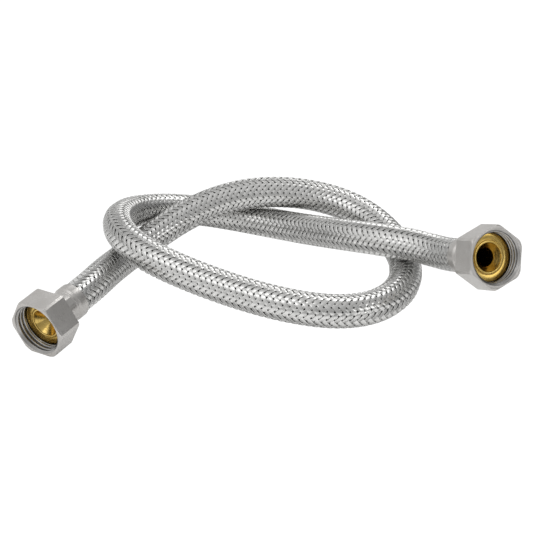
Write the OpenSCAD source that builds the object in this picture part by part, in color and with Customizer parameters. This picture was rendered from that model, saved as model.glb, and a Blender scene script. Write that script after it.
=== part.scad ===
// Braided supply line: a rubber hose under a woven steel sleeve, tied in a loose overhand knot,
// with a crimped ferrule, a brass insert and a free-turning hex union nut at each end.
// Units are mm, +Z is up, the table is z = 0 and the origin is midway between the end fittings.

/* [Union nuts] */
// Bore of the pipe thread at its crests
thread_bore = 19.8; // [18:0.1:22]
// Depth of the thread from its crests to its root
thread_depth = 0.8; // [0.7:0.05:1.1]
// Thickness of the nut's wall outside the thread, at the flats
nut_wall = 0.8; // [0.7:0.1:4]
// Overall length of the nut
nut_length = 11.5; // [10.5:0.5:18]
// Thickness of the wall behind the thread
nut_back_wall = 3; // [2:0.1:4]
// Width by which the countersunk mouth is wider than the thread's root, on each side
mouth_flare = 0.3; // [0.1:0.1:0.6]
// Depth of the countersunk mouth
mouth_depth = 1; // [0.5:0.1:1.5]
// Width of the flat rim round the mouth, out to the bevel that takes the corners off
mouth_rim = 1.3; // [0.9:0.1:1.6]
// Length of the bevel at the front of the hexagon
front_bevel = 1; // [0.6:0.1:2]
// Length of the small bevel at the back of the hexagon
back_bevel = 0.4; // [0.2:0.1:0.8]

/* [Brass inserts] */
// Thickness of the flange that seals against the mating pipe
flange_thickness = 2.4; // [1.6:0.1:3]
// Width of the flat seat between the flange's edge and the raised ring
seat_width = 3; // [2:0.1:3.4]
// Width of the raised sealing ring
ring_width = 0.9; // [0.5:0.1:1.2]
// Height of the raised sealing ring
ring_height = 0.4; // [0.2:0.1:0.6]
// Depth of the short conical lead-in to the waterway at end b
cone_depth = 2.8; // [1.5:0.1:4]
// Depth of the long conical lead-in to the throat at end a
long_cone_depth = 5.6; // [4:0.1:6]
// Diameter of the throat that the long cone at end a closes to
throat_diameter = 3; // [2:0.1:4]
// Outer diameter of the hose stem at its barbs
stem_diameter = 9.6; // [8:0.1:11.6]
// Thickness of the stem's wall
stem_wall = 1; // [0.7:0.05:1.3]
// Length of the hose stem behind the flange
stem_length = 14; // [10:0.5:17]
// Number of barbs on the stem
barb_count = 4; // [2:1:5]
// Depth of the grooves between the barbs
barb_depth = 0.4; // [0.2:0.05:0.5]

/* [Crimped ferrules] */
// Thickness of the ferrule's sheet metal
ferrule_wall = 0.5; // [0.4:0.05:0.8]
// Thickness to which the crimp squeezes the inner tube's wall
squeezed_wall = 0.7; // [0.5:0.05:1.2]
// Length of the neck that shows behind the nut
neck_length = 8; // [6:0.5:9.5]
// Length of the step from the neck to the skirt
step_length = 1; // [0.6:0.1:1.5]
// Length of the skirt over the braid
skirt_length = 4; // [3:0.5:8]
// Thickness of the ferrule's front lip
lip_thickness = 0.8; // [0.5:0.1:1.2]

/* [Hose] */
// Thickness of the inner tube's wall
tube_wall = 1.5; // [1.2:0.05:1.8]
// Thickness of the woven steel sleeve
braid_thickness = 0.7; // [0.5:0.05:0.8]

/* [Clearances] */
// Gap between the swivelling nut and what it turns on
swivel_gap = 0.3; // [0.2:0.05:0.5]
// Gap all round between the flange and the thread that it passes through
flange_gap = 0.216; // [0.1:0.05:0.4]
// Gap between the ferrule's lip and the stem
lip_gap = 0.05; // [0.02:0.01:0.1]

/* [Hidden] */

fine = 64;
sides = 12;
poke = 0.5;

// Along each fitting's own axis: 0 is the back of the nut, + runs to the nut's mouth.
flange_back = nut_back_wall + swivel_gap;
flange_front = flange_back + flange_thickness;
relief_end = flange_front + ring_height + swivel_gap;
hose_start = flange_back - lip_thickness;
skirt_start = -neck_length - step_length;
ferrule_end = skirt_start - skirt_length;
stem_end = flange_back - stem_length;

// Radii, from the waterway out.
stem_radius = stem_diameter / 2;
waterway = stem_radius - stem_wall;
tube_radius = stem_radius + tube_wall;
squeezed_radius = stem_radius + squeezed_wall;
skirt_bore = tube_radius + braid_thickness;
neck_bore = squeezed_radius + braid_thickness;
neck_radius = neck_bore + ferrule_wall;
skirt_radius = skirt_bore + ferrule_wall;
back_hole = neck_radius + swivel_gap;
flange_radius = thread_bore / 2 - flange_gap;
ring_outer = flange_radius - seat_width;
ring_inner = ring_outer - ring_width;
thread_root = thread_bore / 2 + thread_depth;
mouth_radius = thread_root + mouth_flare;
front_face = mouth_radius + mouth_rim;
nut_af = 2 * (thread_root + nut_wall);
hex_radius = nut_af / sqrt(3);
barb_pitch = (stem_length - 3) / barb_count;

// The knot is laid out for a hose of this radius, and grows in step with a thicker or thinner one.
layout_radius = 7;
grow = skirt_bore / layout_radius;

// Where the back of each nut is, and which way its mouth points.
// Nut a rests on the table with the front edge of its lowest flat; nut b is held up by the stiff hose.
end_a_heading = 237;
end_a_pitch = -4;
end_a_height = nut_af / 2 * cos(end_a_pitch) - nut_length * sin(end_a_pitch);
end_a_place = [-84.8 * grow, 2.1 * grow, end_a_height];
end_b_heading = -63;
end_b_pitch = 22;
end_b_place = [85.9 * grow, -0.8 * grow, 32 * grow];
nut_b_turned = 13;
lead_step = 2 * skirt_bore;

// The hose's route from fitting a to fitting b, between the straight leads.
route_middle = [
    [-67, 37, 12.5], [-62, 51.5, 10], [-53.5, 65, 10.5], [-41.5, 76, 14.5], [-26.5, 84.5, 19],
    [-9.5, 89, 22], [8.5, 90, 22], [26, 89.5, 19], [42, 83.5, 15], [53.5, 71.5, 10.5],
    [60, 55, 7.5], [61, 37.5, 7], [57.5, 20, 7], [47, 7, 7], [32, -0.5, 9],
    [15, 0, 11.5], [-2, 6, 13.5], [-18, 13.5, 16], [-34, 20.5, 20], [-49.5, 29, 24.5],
    [-59.5, 42.5, 26.5], [-63, 59.5, 25.5], [-60, 76, 21.5], [-49.5, 88.5, 17], [-34.5, 96.5, 12],
    [-16.5, 97, 8], [1, 90.5, 6.5], [16, 78.5, 8.5], [28.5, 64, 13], [39.5, 49.5, 18],
    [52.5, 38, 21], [65, 31, 21.5]
];

function heading(turn, pitch) = [cos(turn) * cos(pitch), sin(turn) * cos(pitch), sin(pitch)];
function lead(place, dir, k) = place + dir * (hose_start - lead_step * k);

dir_a = heading(end_a_heading, end_a_pitch);
dir_b = heading(end_b_heading, end_b_pitch);
route = concat(
    [for (k = [0 : 2]) lead(end_a_place, dir_a, k)],
    grow * route_middle,
    [for (k = [2 : -1 : 0]) lead(end_b_place, dir_b, k)]
);

// A cubic B-spline through the route, straight where the leads are straight.
last = len(route) - 1;
function knot(i) = i < 0 ? 2 * route[0] - route[1]
    : i > last ? 2 * route[last] - route[last - 1]
    : route[i];
function on_span(i, t) = (
    pow(1 - t, 3) * knot(i - 1)
    + (3 * pow(t, 3) - 6 * t * t + 4) * knot(i)
    + (-3 * pow(t, 3) + 3 * t * t + 3 * t + 1) * knot(i + 1)
    + pow(t, 3) * knot(i + 2)
) / 6;
function slope(i, t) = (
    -pow(1 - t, 2) * knot(i - 1)
    + (3 * t * t - 4 * t) * knot(i)
    + (-3 * t * t + 2 * t + 1) * knot(i + 1)
    + t * t * knot(i + 2)
) / 2;
function span_of(u) = min(floor(u), last - 1);
function at(u) = on_span(span_of(u), u - span_of(u));
function unit(v) = v / norm(v);
function along(u) = unit(slope(span_of(u), u - span_of(u)));

// Rings of the swept tubes: the crimp and the step at each end, then one at every route point.
crimp_u = (hose_start + neck_length) / lead_step;
step_u = (hose_start + neck_length + step_length) / lead_step;
stations = concat(
    [0, crimp_u, step_u],
    [for (i = [1 : last - 1]) i],
    [last - step_u, last - crimp_u, last]
);
count = len(stations);
ring_at = [for (u = stations) at(u)];
ring_dir = [for (u = stations) along(u)];
function flat_to(v, d) = unit(v - d * (v * d));
function carried(i, v) = i == count ? []
    : let (w = flat_to(v, ring_dir[i])) concat([w], carried(i + 1, w));
ring_side = carried(0, [0, 0, 1]);

// The crimp squeezes the hose to the neck's size; elsewhere it keeps its own.
function crimped(i) = i < 2 || i > count - 3;
function swept_ring(i, small, large) = [
    for (j = [0 : sides - 1])
        let (r = crimped(i) ? small : large, a = 360 * j / sides)
        ring_at[i] + r * (cos(a) * ring_side[i] + sin(a) * cross(ring_dir[i], ring_side[i]))
];

module swept_tube(outer_small, outer_large, inner_small, inner_large) {
    wall = count * sides;
    outer = [for (i = [0 : count - 1]) each swept_ring(i, outer_small, outer_large)];
    inner = [for (i = [0 : count - 1]) each swept_ring(i, inner_small, inner_large)];
    outside = [
        for (i = [0 : count - 2], j = [0 : sides - 1])
            let (a = i * sides + j, b = i * sides + (j + 1) % sides)
            each [[a, b, b + sides], [a, b + sides, a + sides]]
    ];
    inside = [for (f = outside) [wall + f[0], wall + f[2], wall + f[1]]];
    tail = (count - 1) * sides;
    caps = [
        for (j = [0 : sides - 1])
            let (k = (j + 1) % sides)
            each [
                [j, wall + j, wall + k], [j, wall + k, k],
                [tail + j, tail + k, wall + tail + k], [tail + j, wall + tail + k, wall + tail + j]
            ]
    ];
    polyhedron(
        points = concat(outer, inner),
        faces = [for (f = concat(outside, inside, caps)) [f[2], f[1], f[0]]]
    );
}

module fitting_at(place, turn, pitch) {
    translate(place)
        rotate([0, 90 - pitch, turn])
            children();
}

module nut_body() {
    difference() {
        intersection() {
            rotate([0, 0, 30])
                cylinder(h = nut_length, r = hex_radius, $fn = 6);
            rotate_extrude($fn = fine)
                polygon([
                    [0, 0],
                    [hex_radius - back_bevel, 0],
                    [hex_radius + poke, back_bevel + poke],
                    [hex_radius + poke, nut_length - front_bevel],
                    [hex_radius, nut_length - front_bevel],
                    [front_face, nut_length],
                    [0, nut_length]
                ]);
        }
        rotate_extrude($fn = fine)
            polygon([
                [0, -poke],
                [back_hole, -poke],
                [back_hole, nut_back_wall],
                [thread_root, nut_back_wall],
                [thread_root, relief_end],
                [thread_bore / 2, relief_end],
                [thread_bore / 2, nut_length - mouth_depth],
                [mouth_radius, nut_length],
                [mouth_radius, nut_length + poke],
                [0, nut_length + poke]
            ]);
    }
}

module insert_body(bore, lead_in) {
    rotate_extrude($fn = fine)
        polygon(concat(
            [
                [bore, stem_end],
                [stem_radius - barb_depth, stem_end]
            ],
            [
                for (k = [0 : barb_count - 1])
                    each [
                        [stem_radius, stem_end + (k + 0.7) * barb_pitch],
                        [stem_radius, stem_end + (k + 0.85) * barb_pitch],
                        [stem_radius - barb_depth, stem_end + (k + 0.86) * barb_pitch],
                        [stem_radius - barb_depth, stem_end + (k + 1) * barb_pitch]
                    ]
            ],
            [
                [stem_radius, flange_back - 2],
                [stem_radius, flange_back],
                [flange_radius, flange_back],
                [flange_radius, flange_front],
                [ring_outer, flange_front],
                [ring_outer, flange_front + ring_height],
                [ring_inner, flange_front + ring_height],
                [bore, flange_front + ring_height - lead_in]
            ]
        ));
}

module ferrule_body() {
    rotate_extrude($fn = fine)
        polygon([
            [stem_radius + lip_gap, flange_back],
            [neck_radius, flange_back],
            [neck_radius, -neck_length],
            [skirt_radius, skirt_start],
            [skirt_radius, ferrule_end],
            [skirt_bore, ferrule_end],
            [skirt_bore, skirt_start],
            [neck_bore, -neck_length],
            [neck_bore, hose_start],
            [stem_radius + lip_gap, hose_start]
        ]);
}

module nut_a() {
    color("silver")
        fitting_at(end_a_place, end_a_heading, end_a_pitch)
            nut_body();
}

module nut_b() {
    color("silver")
        fitting_at(end_b_place, end_b_heading, end_b_pitch)
            rotate([0, 0, nut_b_turned])
                nut_body();
}

module insert_a() {
    color("goldenrod")
        fitting_at(end_a_place, end_a_heading, end_a_pitch)
            insert_body(throat_diameter / 2, long_cone_depth);
}

module insert_b() {
    color("goldenrod")
        fitting_at(end_b_place, end_b_heading, end_b_pitch)
            insert_body(waterway, cone_depth);
}

module ferrule_a() {
    color("lightgrey")
        fitting_at(end_a_place, end_a_heading, end_a_pitch)
            ferrule_body();
}

module ferrule_b() {
    color("lightgrey")
        fitting_at(end_b_place, end_b_heading, end_b_pitch)
            ferrule_body();
}

module inner_tube() {
    color("dimgrey")
        swept_tube(
            squeezed_radius,
            tube_radius,
            stem_radius / cos(180 / sides),
            stem_radius / cos(180 / sides)
        );
}

module braid() {
    color("gainsboro")
        swept_tube(
            neck_bore,
            skirt_bore,
            squeezed_radius,
            tube_radius
        );
}

nut_a();
nut_b();
insert_a();
insert_b();
ferrule_a();
ferrule_b();
inner_tube();
braid();
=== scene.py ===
import math

import bpy
import numpy as np
from mathutils import Matrix, Vector


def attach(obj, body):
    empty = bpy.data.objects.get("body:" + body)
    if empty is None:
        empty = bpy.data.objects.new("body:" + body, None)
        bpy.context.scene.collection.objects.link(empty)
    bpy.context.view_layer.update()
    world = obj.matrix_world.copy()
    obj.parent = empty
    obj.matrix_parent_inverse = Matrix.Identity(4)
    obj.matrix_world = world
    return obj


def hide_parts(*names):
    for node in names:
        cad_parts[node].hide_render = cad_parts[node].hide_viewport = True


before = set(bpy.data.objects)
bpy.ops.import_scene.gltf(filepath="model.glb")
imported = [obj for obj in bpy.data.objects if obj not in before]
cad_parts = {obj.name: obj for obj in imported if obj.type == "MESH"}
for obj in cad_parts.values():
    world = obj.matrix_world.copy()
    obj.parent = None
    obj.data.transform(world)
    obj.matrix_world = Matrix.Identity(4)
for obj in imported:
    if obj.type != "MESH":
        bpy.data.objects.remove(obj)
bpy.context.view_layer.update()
scene = bpy.context.scene
MM = 0.001

# ---------------------------------------------------------------- sizes (mm, as the CAD)
NUT_AF, NUT_LENGTH, NUT_BACK_WALL = 23.0, 11.5, 3.0
THREAD_BORE_R, THREAD_ROOT_R, RELIEF_R, THREAD_PITCH = 9.9, 10.65, 10.7, 1.814
MOUTH_R, MOUTH_DEPTH, FRONT_BEVEL, FRONT_FACE_R = 11.0, 1.0, 1.0, 12.3
FLANGE_R, FLANGE_BACK, FLANGE_FRONT = 9.684, 3.3, 5.7
RING_OUT_R, RING_IN_R, RING_HEIGHT = 6.684, 5.784, 0.4
STEM_R, STEM_END = 4.8, -10.7
LONG_CONE, SHORT_CONE = (1.5, 5.6), (3.8, 2.8)  # radius at the narrow end, depth
NECK_R, FERRULE_WALL, NECK_END, STEP_END, FERRULE_END = 6.7, 0.5, -8.0, -9.0, -13.0
BACK_HOLE_R, RELIEF_END, HOSE_START = 7.0, 5.98, 2.5
HOSE_R, LEAD_STEP = 7.0, 14.0
HEX_R = NUT_AF / math.sqrt(3)
EDGE_R = 12.93  # the hexagon's edges are bevelled to this radius

# each end: place of the nut's back, turn about Z and pitch in degrees
A_PITCH = -4
A_HEIGHT = (  # nut a stands on the surface
    NUT_AF / 2 * math.cos(math.radians(A_PITCH)) - NUT_LENGTH * math.sin(math.radians(A_PITCH))
)
END_A = ((-84.8, 2.1, A_HEIGHT), 237, A_PITCH)
END_B = ((85.9, -0.8, 32), -63, 22)
NUT_B_TURNED = 13
ROUTE_MIDDLE = [
    (-67, 37, 12.5), (-62, 51.5, 10), (-53.5, 65, 10.5), (-41.5, 76, 14.5), (-26.5, 84.5, 19),
    (-9.5, 89, 22), (8.5, 90, 22), (26, 89.5, 19), (42, 83.5, 15), (53.5, 71.5, 10.5),
    (60, 55, 7.5), (61, 37.5, 7), (57.5, 20, 7), (47, 7, 7), (32, -0.5, 9),
    (15, 0, 11.5), (-2, 6, 13.5), (-18, 13.5, 16), (-34, 20.5, 20), (-49.5, 29, 24.5),
    (-59.5, 42.5, 26.5), (-63, 59.5, 25.5), (-60, 76, 21.5), (-49.5, 88.5, 17), (-34.5, 96.5, 12),
    (-16.5, 97, 8), (1, 90.5, 6.5), (16, 78.5, 8.5), (28.5, 64, 13), (39.5, 49.5, 18),
    (52.5, 38, 21), (65, 31, 21.5),
]


# ---------------------------------------------------------------- the route
def heading(turn, pitch):
    t, p = math.radians(turn), math.radians(pitch)
    return np.array([math.cos(t) * math.cos(p), math.sin(t) * math.cos(p), math.sin(p)])


def lead(end, k):
    return np.array(end[0], float) + heading(end[1], end[2]) * (HOSE_START - LEAD_STEP * k)


route = np.array(
    [lead(END_A, k) for k in range(3)]
    + [np.array(p, float) for p in ROUTE_MIDDLE]
    + [lead(END_B, k) for k in (2, 1, 0)]
)
knots = np.vstack([2 * route[0] - route[1], route, 2 * route[-1] - route[-2]])


def spline(knots, steps):
    """Points of a uniform cubic B-spline, steps to a span."""
    t = np.arange(steps) / steps
    b = np.stack([(1 - t) ** 3, 3 * t**3 - 6 * t**2 + 4, -3 * t**3 + 3 * t**2 + 3 * t + 1, t**3], 1) / 6
    spans = [b @ knots[i : i + 4] for i in range(len(knots) - 3)]
    return np.vstack(spans + [knots[-2][None]])


SPAN_STEPS = 60
line = spline(knots, SPAN_STEPS)
seg = np.linalg.norm(np.diff(line, axis=0), axis=1)
run = np.concatenate([[0], np.cumsum(seg)])
LENGTH = run[-1]
tang = np.gradient(line, axis=0)
tang /= np.linalg.norm(tang, axis=1)[:, None]
# the frame along the hose is carried from point to point, so it doesn't twist
side = np.zeros_like(line)
carried = np.array([0, 0, 1.0])
for i in range(len(line)):
    carried = carried - tang[i] * (carried @ tang[i])
    carried /= np.linalg.norm(carried)
    side[i] = carried
other = np.cross(tang, side)


def lerp(table, s):
    return np.stack([np.interp(s, run, table[:, k]) for k in range(3)], -1)


def on_hose(s, theta, r):
    """Points at a run s along the hose, an angle theta round it and a radius r, all arrays of one shape."""
    c, n, b = lerp(line, s), lerp(side, s), lerp(other, s)
    return c + r[..., None] * (np.cos(theta)[..., None] * n + np.sin(theta)[..., None] * b)


# ---------------------------------------------------------------- mesh helpers
def mesh_object(name, verts, faces):
    me = bpy.data.meshes.new(name)
    verts = np.asarray(verts, float).reshape(-1, 3) * MM
    faces = np.asarray(faces, np.int32)
    me.vertices.add(len(verts))
    me.vertices.foreach_set("co", verts.ravel())
    me.loops.add(faces.size)
    me.loops.foreach_set("vertex_index", faces.ravel())
    me.polygons.add(len(faces))
    me.polygons.foreach_set("loop_start", np.arange(len(faces), dtype=np.int32) * faces.shape[1])
    me.polygons.foreach_set("use_smooth", np.full(len(faces), True))
    me.update(calc_edges=True)
    me.validate()
    ob = bpy.data.objects.new(name, me)
    scene.collection.objects.link(ob)
    return ob


def grid_faces(rows, cols, close_rows=False):
    """Quads of a grid of vertices whose columns close into a ring, and whose rows may."""
    r = np.arange(rows if close_rows else rows - 1)
    i, j = np.meshgrid(r, np.arange(cols), indexing="ij")
    i2, j2 = (i + 1) % rows, (j + 1) % cols
    f = np.stack([i * cols + j, i * cols + j2, i2 * cols + j2, i2 * cols + j], -1)
    return f.reshape(-1, 4)


def filleted(points, radius, n):
    """A closed 2D outline with each corner rounded off to about radius; every corner gives n points."""
    p = np.asarray(points, float)
    out = []
    for i in range(len(p)):
        a, b, c = p[i - 1], p[i], p[(i + 1) % len(p)]
        la, lc = np.linalg.norm(a - b), np.linalg.norm(c - b)
        k = min(radius, 0.45 * la, 0.45 * lc)
        s, e = b + (a - b) / max(la, 1e-9) * k, b + (c - b) / max(lc, 1e-9) * k
        for t in np.linspace(0, 1, n):
            out.append((1 - t) ** 2 * s + 2 * t * (1 - t) * b + t * t * e)
    return np.array(out)


def fitting_matrix(end):
    """Takes a fitting made along Z to its end of the hose."""
    place, turn, pitch = end
    turned = Matrix.Rotation(math.radians(turn), 4, "Z")
    pitched = Matrix.Rotation(math.radians(90 - pitch), 4, "Y")
    return Matrix.Translation(Vector(place) * MM) @ turned @ pitched


def revolve(name, profile, segments=96, shape=None):
    """A closed (radius, axial) outline turned about Z. shape(theta, radius, axial) may alter the radius."""
    th = np.arange(segments) * 2 * math.pi / segments
    r = np.repeat(profile[:, 0][:, None], segments, 1)
    a = np.repeat(profile[:, 1][:, None], segments, 1)
    if shape is not None:
        r = shape(th[None, :], r, a)
    verts = np.stack([r * np.cos(th), r * np.sin(th), a], -1)
    return mesh_object(name, verts, grid_faces(len(profile), segments, close_rows=True)[:, ::-1])


# ---------------------------------------------------------------- camera
cam_data = bpy.data.cameras.new("camera")
cam_data.lens = 91.8
cam_data.clip_start = 0.01
camera = bpy.data.objects.new("camera", cam_data)
scene.collection.objects.link(camera)
CAM_AIM = Vector((6.6, 46.1, 0)) * MM
CAM_DISTANCE, CAM_ELEVATION, CAM_ROLL = 0.6192, math.radians(28.63), math.radians(-2.57)
CAM_FROM = Vector((0, -math.cos(CAM_ELEVATION), math.sin(CAM_ELEVATION)))
camera.location = CAM_AIM + CAM_FROM * CAM_DISTANCE
camera.rotation_euler = (
    Matrix.Rotation(math.radians(90) - CAM_ELEVATION, 3, "X") @ Matrix.Rotation(CAM_ROLL, 3, "Z")
).to_euler()
scene.camera = camera


# ---------------------------------------------------------------- materials
def material(name, colour, metallic=0.0, rough=0.5):
    m = bpy.data.materials.new(name)
    m.use_nodes = True
    b = m.node_tree.nodes["Principled BSDF"]
    b.inputs["Base Color"].default_value = (*colour, 1)
    b.inputs["Metallic"].default_value = metallic
    b.inputs["Roughness"].default_value = rough
    return m, m.node_tree, b


def node(nt, kind, **values):
    n = nt.nodes.new(kind)
    for k, val in values.items():
        if k in n.inputs:
            n.inputs[k].default_value = val
        else:
            setattr(n, k, val)
    return n


def ramp(nt, source, stops):
    n = nt.nodes.new("ShaderNodeValToRGB")
    while len(n.color_ramp.elements) < len(stops):
        n.color_ramp.elements.new(0.5)
    for e, (pos, col) in zip(n.color_ramp.elements, stops):
        e.position, e.color = pos, (*col, 1)
    nt.links.new(source, n.inputs["Fac"])
    return n


def scaled(nt, scale):
    tc = nt.nodes.new("ShaderNodeTexCoord")
    mp = nt.nodes.new("ShaderNodeMapping")
    mp.inputs["Scale"].default_value = scale if isinstance(scale, tuple) else (scale,) * 3
    nt.links.new(tc.outputs["Object"], mp.inputs["Vector"])
    return mp.outputs["Vector"]


def noise(nt, vector, scale=1.0, detail=4.0, rough=0.55):
    n = node(nt, "ShaderNodeTexNoise", Scale=scale, Detail=detail, Roughness=rough)
    nt.links.new(vector, n.inputs["Vector"])
    return n.outputs["Fac"]


def drive(nt, source, target, low, high, at=(0.3, 0.7)):
    m = node(nt, "ShaderNodeMapRange")
    m.inputs["From Min"].default_value, m.inputs["From Max"].default_value = at
    m.inputs["To Min"].default_value, m.inputs["To Max"].default_value = low, high
    nt.links.new(source, m.inputs["Value"])
    nt.links.new(m.outputs["Result"], target)


def bump(nt, bsdf, height, distance):
    b = node(nt, "ShaderNodeBump", Distance=distance, Strength=1.0)
    nt.links.new(height, b.inputs["Height"])
    nt.links.new(b.outputs["Normal"], bsdf.inputs["Normal"])


MICRON = 0.000001
TURNING_SCALE = 3200.0  # turning marks about 0.3 mm apart


def brushed_metal(name, dark, light, rough, streak, blotch=120.0, depth=4):
    """A metal between two tones: wide blotches in its colour, fine streaks in its roughness."""
    m, nt, b = material(name, light, 1.0, rough)
    wide = noise(nt, scaled(nt, blotch), 1.0, 5.0)
    fine = noise(nt, scaled(nt, streak), 1.0, 3.0, 0.6)
    c = ramp(nt, wide, [(0.32, dark), (0.62, light)])
    nt.links.new(c.outputs["Color"], b.inputs["Base Color"])
    drive(nt, fine, b.inputs["Roughness"], rough * 0.8, rough * 1.35)
    bump(nt, b, fine, depth * MICRON)
    return m


nickel = brushed_metal(
    "satin nickel", (0.54, 0.522, 0.50), (0.60, 0.585, 0.565), 0.33, (900, 900, 5200), depth=2
)
thread_metal = brushed_metal(
    "cut thread", (0.36, 0.352, 0.34), (0.47, 0.462, 0.45), 0.26, (5000, 5000, 700)
)
# painted shade: a much darker copy of the thread metal, laid on the thread's roots where shade falls
thread_root_painted_shade = brushed_metal(
    "thread root painted shade", (0.10, 0.097, 0.094), (0.17, 0.165, 0.16), 0.45, (5000, 5000, 700)
)
ferrule_metal = brushed_metal(
    "ferrule steel", (0.50, 0.485, 0.465), (0.59, 0.575, 0.555), 0.32, (2600, 2600, 300), 90.0, 1.5
)
wire_metal = brushed_metal(
    "bright steel wire", (0.70, 0.70, 0.685), (0.86, 0.855, 0.84), 0.25, (2500,) * 3, 420.0, 2
)

BRASS_TONE, TARNISHED_TONE = (0.80, 0.58, 0.19), (0.62, 0.42, 0.11)
brass, nt, b = material("turned brass", BRASS_TONE, 1.0, 0.24)
blotches = noise(nt, scaled(nt, 160.0), 1.0, 5.0)
tarnish = ramp(nt, blotches, [(0.32, TARNISHED_TONE), (0.66, BRASS_TONE)])
nt.links.new(tarnish.outputs["Color"], b.inputs["Base Color"])
across = node(nt, "ShaderNodeVectorMath", operation="LENGTH")
nt.links.new(scaled(nt, (TURNING_SCALE, TURNING_SCALE, 0)), across.inputs[0])
grooves = node(nt, "ShaderNodeTexNoise", noise_dimensions="1D", Scale=1.0, Detail=2.0)
nt.links.new(across.outputs["Value"], grooves.inputs["W"])
drive(nt, grooves.outputs["Fac"], b.inputs["Roughness"], 0.16, 0.27)
bump(nt, b, grooves.outputs["Fac"], 3.5 * MICRON)

rubber, nt, b = material("black rubber", (0.012, 0.012, 0.013), 0.0, 0.62)
grain = noise(nt, scaled(nt, 2400.0), 1.0, 4.0)
drive(nt, grain, b.inputs["Roughness"], 0.5, 0.78)
bump(nt, b, grain, 20 * MICRON)

# ---------------------------------------------------------------- the inner tube (the cord)
TUBE_R = 6.3
SQUEEZED_R = 5.5  # inside the neck of a ferrule
TUBE_SIDES = 40


def tube_radius(s):
    d = np.minimum(s, LENGTH - s)
    start = HOSE_START - NECK_END
    t = np.clip((d - start) / (NECK_END - STEP_END), 0, 1)
    return SQUEEZED_R + (TUBE_R - SQUEEZED_R) * t


# the rings are closer where the tube is squeezed, 16 mm at each end
s_rings = np.concatenate(
    [np.linspace(0, 16, 33), np.linspace(17, LENGTH - 17, 420), np.linspace(LENGTH - 16, LENGTH, 33)]
)
around = np.arange(TUBE_SIDES) * 2 * math.pi / TUBE_SIDES
S, T = np.meshgrid(s_rings, around, indexing="ij")
outer = on_hose(S, T, np.repeat(tube_radius(s_rings)[:, None], TUBE_SIDES, 1))
inner = on_hose(S, T, np.full(S.shape, STEM_R + 0.02))
loop = np.concatenate([outer, inner[::-1]])
tube_faces = grid_faces(len(loop), TUBE_SIDES, close_rows=True)[:, ::-1]
tube = mesh_object("inner_tube_hose", loop, tube_faces)
tube.data.materials.append(rubber)
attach(tube, "hose")
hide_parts("inner_tube")

# ---------------------------------------------------------------- the braid: 24 wire bundles
LEAD = 32.4  # along the hose for one turn of a bundle
CARRIERS = 12  # bundles each way
WIRES, WIRE_R = 7, 0.118  # ribs across a bundle
BUNDLE = 1.58  # width of a bundle
CROWN = 0.12  # drop from a bundle's middle to its edges
WEAVE, ROUNDING = 0.24, 1.0  # rise and fall of a bundle, and how square the wave is
SLACK, DRIFT = 0.015, 0.012  # small unevenness along the hose, and round it in radians
MEAN_R = 6.98 - WEAVE - WIRE_R
STEP = 0.5
BRAID_FROM = HOSE_START - STEP_END + 0.6

bias = math.atan2(2 * math.pi * MEAN_R, LEAD)
x_across = np.linspace(-BUNDLE / 2, BUNDLE / 2, 2 * WIRES + 1)
hump = np.where(np.arange(2 * WIRES + 1) % 2 == 1, WIRE_R, -0.02)
hump = hump - CROWN * (2 * x_across / BUNDLE) ** 2
x_ring = np.concatenate([x_across, [BUNDLE / 2 * 0.9, -BUNDLE / 2 * 0.9]])
h_ring = np.concatenate([hump, [-WIRE_R - CROWN, -WIRE_R - CROWN]])
s_axis = np.arange(BRAID_FROM, LENGTH - BRAID_FROM, STEP)


def strand(index, hand):
    """One bundle, over two and under two of those that cross it."""
    s = s_axis[:, None] - math.sin(bias) * x_ring[None, :]
    theta0 = hand * 2 * math.pi * s_axis / LEAD + 2 * math.pi * index / CARRIERS
    theta = theta0[:, None] + hand * math.cos(bias) * x_ring[None, :] / MEAN_R
    phase = 2 * math.pi * ((2 * index + hand * 2 * CARRIERS * s_axis / LEAD) - 0.5) / 4
    wave = np.tanh(ROUNDING * np.cos(phase)) / math.tanh(ROUNDING) * hand
    slack = SLACK * np.sin(s_axis / 37.0 + 5.1 * index + 2.3 * hand)
    r = MEAN_R + WEAVE * wave[:, None] + h_ring[None, :]
    drift = DRIFT * np.sin(s_axis / 23.0 + 3.7 * index) * hand
    pts = on_hose(s + slack[:, None], theta + drift[:, None], r)
    faces = grid_faces(len(s_axis), len(x_ring))
    return pts.reshape(-1, 3), faces if hand > 0 else faces[:, ::-1]


for hand, word in ((1, "right"), (-1, "left")):
    for pair in range(CARRIERS // 2):
        verts, faces, start = [], [], 0
        for index in (pair, pair + CARRIERS // 2):
            points, quads = strand(index, hand)
            verts.append(points)
            faces.append(quads + start)
            start += len(points)
        ob = mesh_object(f"braid_{word}_{pair + 1}", np.vstack(verts), np.vstack(faces))
        ob.data.materials.append(wire_metal)
        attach(ob, "hose")
        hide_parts("braid")


# ---------------------------------------------------------------- union nuts
def hex_angles():
    """Angles round the nut, close together at each hexagon edge's bevel."""
    half = math.acos((NUT_AF / 2) / HEX_R)
    out = []
    for k in range(6):
        c = k * math.pi / 3
        # the flat meets the bevel where AF/2 / cos(30 deg - x) = EDGE_R / cos(x)
        lo, hi = 0.0, half
        for _ in range(50):
            mid = (lo + hi) / 2
            if (NUT_AF / 2) / math.cos(half - mid) > EDGE_R / math.cos(mid):
                lo = mid
            else:
                hi = mid
        x = lo
        near = [0, x * 0.5, x * 0.85, x * 0.97, x * 1.03, x * 1.15, x * 1.4]
        flat = list(np.linspace(x * 1.9, half, 14))
        one = near + flat
        out += [c + a for a in one] + [c + math.pi / 3 - a for a in one[::-1][1:-1]]
    return np.array(sorted(a % (2 * math.pi) for a in out))


def hex_radius_at(t):
    d = (t + math.pi / 6) % (math.pi / 3) - math.pi / 6
    flat = (NUT_AF / 2) / np.cos(math.pi / 6 - np.abs(d))
    return np.minimum(flat, EDGE_R / np.cos(d))


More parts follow.
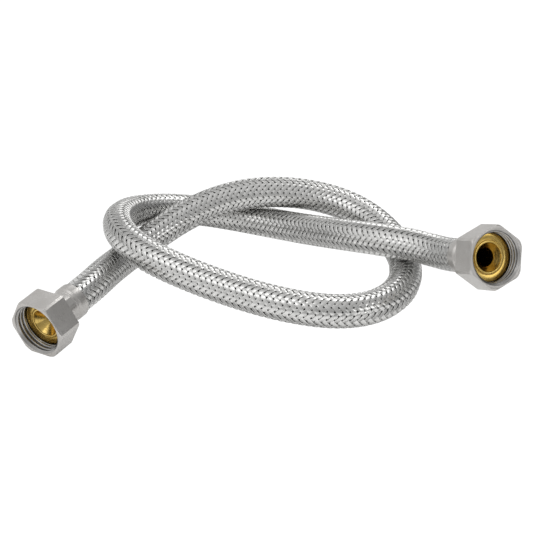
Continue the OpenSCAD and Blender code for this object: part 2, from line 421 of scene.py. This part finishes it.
def thread_radius(t, a):
    """Rounded pipe-thread form: crest inwards at THREAD_BORE_R, root at THREAD_ROOT_R."""
    u = ((a / THREAD_PITCH) - t / (2 * math.pi)) % 1.0
    tri = 1 - np.abs(2 * u - 1)
    straight = np.clip((tri - 0.16) / 0.68, 0, 1)
    rounded = straight * straight * (3 - 2 * straight)
    f = 0.55 * rounded + 0.45 * straight
    return THREAD_BORE_R + (THREAD_ROOT_R - THREAD_BORE_R) * f


SHADED_ROOT_FROM_R = 10.38  # painted shade: beyond this radius the thread's roots take a much darker metal that stands in for the shade in them
LAND_R = 9.95  # the thread runs out into a narrow land just in front of the flange
THREAD_ROWS = 74


def union_nut(name, end, body, cad, turned):
    """One closed skin: an outline of outside, threaded wall and back, for each angle round the nut."""
    angles = hex_angles()
    thread_a = np.linspace(NUT_LENGTH - 0.08, RELIEF_END + 0.04, THREAD_ROWS)
    mouth = (thread_a - (NUT_LENGTH - MOUTH_DEPTH)) * (MOUTH_R - THREAD_BORE_R) / MOUTH_DEPTH
    cone = THREAD_BORE_R + mouth
    fade = np.clip((thread_a - RELIEF_END) / 0.5, 0, 1)
    behind = [
        (LAND_R, RELIEF_END),
        (RELIEF_R, RELIEF_END - 0.1),
        (RELIEF_R, NUT_BACK_WALL),
        (BACK_HOLE_R, NUT_BACK_WALL),
        (BACK_HOLE_R, 0.0),
    ]
    tail = filleted(behind, 0.2, 4)[4:]
    columns = []
    slope = (HEX_R - FRONT_FACE_R) / FRONT_BEVEL
    for t in angles:
        h = float(hex_radius_at(t))
        cross = NUT_LENGTH - max(0.16, (h - FRONT_FACE_R) / slope)
        face = min(FRONT_FACE_R, h - 0.12)
        back = max(0.12, h - (HEX_R - 0.4))
        outside = [
            (BACK_HOLE_R, 0.0),
            (h - 0.14, 0.0),
            (h, back),
            (h, cross),
            (face, NUT_LENGTH),
            (MOUTH_R, NUT_LENGTH),
        ]
        outline = filleted(outside, 0.16, 5)[5:]
        wall = np.maximum(thread_radius(t, thread_a), cone)
        wall = LAND_R + (wall - LAND_R) * fade
        inside = np.stack([wall, thread_a], -1)
        columns.append(np.vstack([outline, inside, tail]))
    prof = np.array(columns)
    r, a = prof[..., 0], prof[..., 1]
    t = angles[:, None] + math.pi / 6 + math.radians(turned)
    verts = np.stack([r * np.cos(t), r * np.sin(t), a], -1)
    rows, cols = verts.shape[:2]
    ob = mesh_object(name, verts, grid_faces(rows, cols, close_rows=True))
    for look in (nickel, thread_metal, thread_root_painted_shade):
        ob.data.materials.append(look)
    first, last = len(outline), len(outline) + THREAD_ROWS
    idx = np.zeros(len(ob.data.polygons), np.int32)
    j = np.arange(len(idx)) % cols
    idx[(j >= first) & (j < cols - 1)] = 1
    # painted shade: the darker root metal goes on the thread rows beyond this radius
    painted_shade_roots = (r > SHADED_ROOT_FROM_R) & (a < NUT_LENGTH - MOUTH_DEPTH) & (a > RELIEF_END)
    idx[painted_shade_roots.ravel() & (j >= first) & (j < last)] = 2
    ob.data.polygons.foreach_set("material_index", idx)
    ob.matrix_world = fitting_matrix(end)
    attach(ob, body)
    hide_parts(cad)


union_nut("union_nut_a", END_A, "union_nut_a", "nut_a", 0)
union_nut("union_nut_b", END_B, "union_nut_b", "nut_b", NUT_B_TURNED)


# ---------------------------------------------------------------- crimped ferrules
CRIMP_FLATS, CRIMP_FLAT_R = 8, 6.54


def crimp(theta, r, a):
    """Presses the flats of the crimp into the neck, fading out towards both its ends."""
    flats = CRIMP_FLATS
    d = (theta + math.pi / flats) % (2 * math.pi / flats) - math.pi / flats
    ridge = np.minimum(CRIMP_FLAT_R / np.cos(d), NECK_R)
    grip = np.clip((a - NECK_END - 0.5) / 0.5, 0, 1) * np.clip((1.4 - a) / 1.6, 0, 1)
    pressed = np.where(r > NECK_R - 0.12, np.minimum(r, ridge + (r - NECK_R)), r)
    return r + (pressed - r) * grip


def ferrule(name, end, cad):
    wall = FERRULE_WALL
    outline = [
        (STEM_R + 0.05, FLANGE_BACK - 0.02),
        (NECK_R, FLANGE_BACK - 0.02),
        (NECK_R, 1.6),
        (NECK_R, 0.6),
        (NECK_R, -3.5),
        (NECK_R, NECK_END + 1.1),
        (NECK_R, NECK_END + 0.62),
        (NECK_R + 0.24, NECK_END + 0.34),
        (NECK_R + 0.24, NECK_END + 0.06),
        (NECK_R + 0.02, NECK_END - 0.16),
        (HOSE_R + wall, STEP_END - 0.05),
        (HOSE_R + wall, FERRULE_END + 0.25),
        (HOSE_R + wall - 0.2, FERRULE_END),
        (HOSE_R + 0.03, FERRULE_END),
        (HOSE_R + 0.01, STEP_END),
        (NECK_R - wall, NECK_END),
        (NECK_R - wall, HOSE_START),
        (STEM_R + 0.05, HOSE_START),
    ]
    ob = revolve(name, filleted(outline, 0.14, 4), 192, crimp)
    ob.data.materials.append(ferrule_metal)
    ob.matrix_world = fitting_matrix(end)
    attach(ob, "hose")
    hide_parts(cad)


ferrule("ferrule_a_crimped", END_A, "ferrule_a")
ferrule("ferrule_b_crimped", END_B, "ferrule_b")


# ---------------------------------------------------------------- brass inserts
BARBS, BARB_PITCH = 4, 2.75


def insert(name, end, cad, cone):
    top = FLANGE_FRONT + RING_HEIGHT
    bore, depth = cone
    outline = [
        (bore, STEM_END),
        (STEM_R - 0.4, STEM_END),
    ]
    pitch = BARB_PITCH
    for k in range(BARBS):
        z = STEM_END + k * pitch
        outline += [
            (STEM_R, z + 0.7 * pitch),
            (STEM_R, z + 0.85 * pitch),
            (STEM_R - 0.4, z + 0.88 * pitch),
            (STEM_R - 0.4, z + pitch),
        ]
    outline += [
        (STEM_R, FLANGE_BACK - 1.6),
        (STEM_R, FLANGE_BACK),
        (FLANGE_R - 0.25, FLANGE_BACK),
        (FLANGE_R, FLANGE_BACK + 0.25),
        (FLANGE_R, FLANGE_FRONT - 0.15),
        (FLANGE_R - 0.15, FLANGE_FRONT),
        (RING_OUT_R + 0.35, FLANGE_FRONT),
        (RING_OUT_R + 0.3, FLANGE_FRONT - 0.12),
        (RING_OUT_R + 0.05, FLANGE_FRONT - 0.12),
        (RING_OUT_R, top - 0.12),
        (RING_OUT_R - 0.15, top),
        (RING_IN_R + 0.2, top),
        (RING_IN_R, top - 0.12),
        (RING_IN_R - 0.12, FLANGE_FRONT - 0.05),
        (bore + 0.05, top - depth),
        (bore, top - depth - 0.1),
    ]
    ob = revolve(name, filleted(outline, 0.08, 3), 128)
    ob.data.materials.append(brass)
    ob.matrix_world = fitting_matrix(end)
    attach(ob, "hose")
    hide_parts(cad)


insert("insert_a_turned", END_A, "insert_a", LONG_CONE)
insert("insert_b_turned", END_B, "insert_b", SHORT_CONE)

# ---------------------------------------------------------------- floor and light
def staged(ob, name, colour, glow):
    m, nt, b = material(name, colour, 0.0, 0.9)
    b.inputs["Emission Color"].default_value = (1, 1, 1, 1)
    b.inputs["Emission Strength"].default_value = glow
    ob.name = name
    ob.data.materials.append(m)


bpy.ops.mesh.primitive_plane_add(size=6, location=(0, 0, -0.0002))
studio_floor = bpy.context.object
staged(studio_floor, "studio_floor", (0.8, 0.8, 0.8), 0.3)
studio_floor.visible_camera = False

bpy.ops.mesh.primitive_uv_sphere_add(radius=8, segments=32, ring_count=16)
studio_sweep = bpy.context.object
staged(studio_sweep, "studio_white_sweep", (0, 0, 0), 1.1)
for ray in ("diffuse", "glossy", "transmission", "volume_scatter", "shadow"):
    setattr(studio_sweep, "visible_" + ray, False)

BRIGHT_SIDE = (-0.94, 0.30, 0.0)  # the studio is brighter to the left and behind
world = bpy.data.worlds.new("studio")
scene.world = world
world.use_nodes = True
wn = world.node_tree
tc = wn.nodes.new("ShaderNodeTexCoord")
sep = wn.nodes.new("ShaderNodeSeparateXYZ")
wn.links.new(tc.outputs["Generated"], sep.inputs["Vector"])
SKY = [(0.0, 0.50), (0.12, 0.62), (0.45, 0.62), (1.0, 0.76)]  # grey by height
sky = ramp(wn, sep.outputs["Z"], [(height, (grey,) * 3) for height, grey in SKY])
wn.links.new(sky.outputs["Color"], wn.nodes["Background"].inputs["Color"])
tilt = node(wn, "ShaderNodeVectorMath", operation="DOT_PRODUCT")
tilt.inputs[1].default_value = BRIGHT_SIDE
wn.links.new(tc.outputs["Generated"], tilt.inputs[0])
strength = wn.nodes["Background"].inputs["Strength"]
drive(wn, tilt.outputs["Value"], strength, 0.4, 1.34, (-1.0, 1.0))


LIGHTS_AIM = (0, 0.03, 0)


def area(name, place, size, power):
    d = bpy.data.lights.new(name, "AREA")
    d.shape, d.size, d.size_y, d.energy = "RECTANGLE", size[0], size[1], power
    o = bpy.data.objects.new(name, d)
    o.location = place
    o.rotation_euler = (Vector(LIGHTS_AIM) - Vector(place)).to_track_quat("-Z", "Y").to_euler()
    scene.collection.objects.link(o)


area("key", (-0.45, -0.35, 0.75), (0.5, 0.5), 0.5)
area("spark", (-0.3, -0.4, 0.8), (0.1, 0.1), 0.12)
area("back", (0.2, 0.9, 0.6), (0.8, 0.3), 1.2)
area("edge", (0.4, 0.5, 0.8), (0.25, 0.25), 0.6)
area("fill", (0.8, -0.45, 0.4), (0.3, 0.35), 0.6)

scene.view_settings.view_transform = "Standard"
